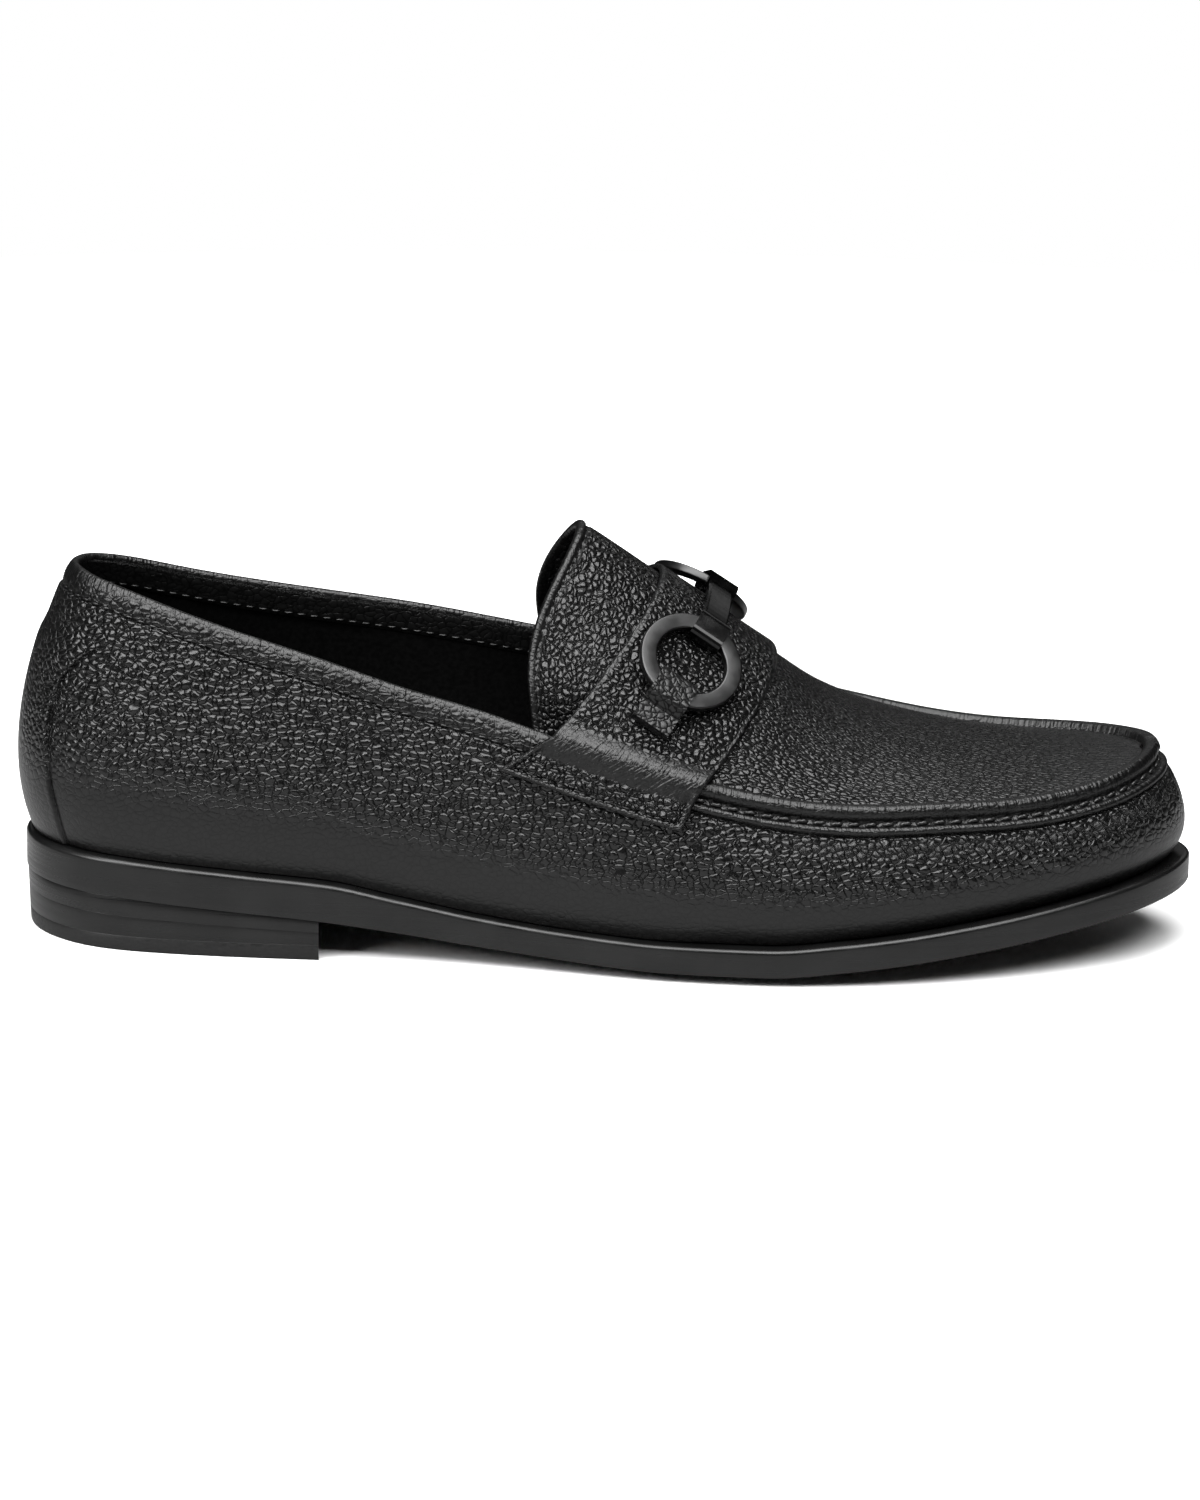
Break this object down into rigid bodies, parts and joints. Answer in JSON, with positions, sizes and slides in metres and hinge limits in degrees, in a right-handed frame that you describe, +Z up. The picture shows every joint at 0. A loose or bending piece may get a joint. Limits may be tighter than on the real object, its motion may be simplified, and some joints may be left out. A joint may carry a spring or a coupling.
{
  "type": "bit loafer",
  "caption": "Moccasin loafer for the right foot, with a tongue, a saddle strap carrying a ring-and-bar bit, a stacked heel and a leather sole.",
  "frame": {"origin": "on the floor, under the middle of the shoe's box", "axes": "+X along the shoe towards the toe, +Z up, -Y towards the outer side of the foot"},
  "size_m": [0.304, 0.1032, 0.1079],
  "materials": {
    "upper_leather_black": "pebbled black leather with a soft gloss",
    "sole_edge_black": "smooth black leather, edge dressed with satin ink",
    "lift_rubber_black": "matt black rubber",
    "sock_leather_black": "smooth matt black lining leather",
    "bit_metal_black": "satin black plated metal",
    "thread_black": "waxed black thread"
  },
  "bodies": {
    "root": {"outsole": "sole_edge_black", "heel_stack": "sole_edge_black", "top_lift": "lift_rubber_black", "insole": "sock_leather_black", "upper": "upper_leather_black", "tongue": "upper_leather_black", "saddle_strap": "upper_leather_black", "keeper_outer": "upper_leather_black", "keeper_inner": "upper_leather_black", "bit_ring_outer": "bit_metal_black", "bit_ring_inner": "bit_metal_black", "bit_bar": "bit_metal_black"}
  },
  "joints": []
}
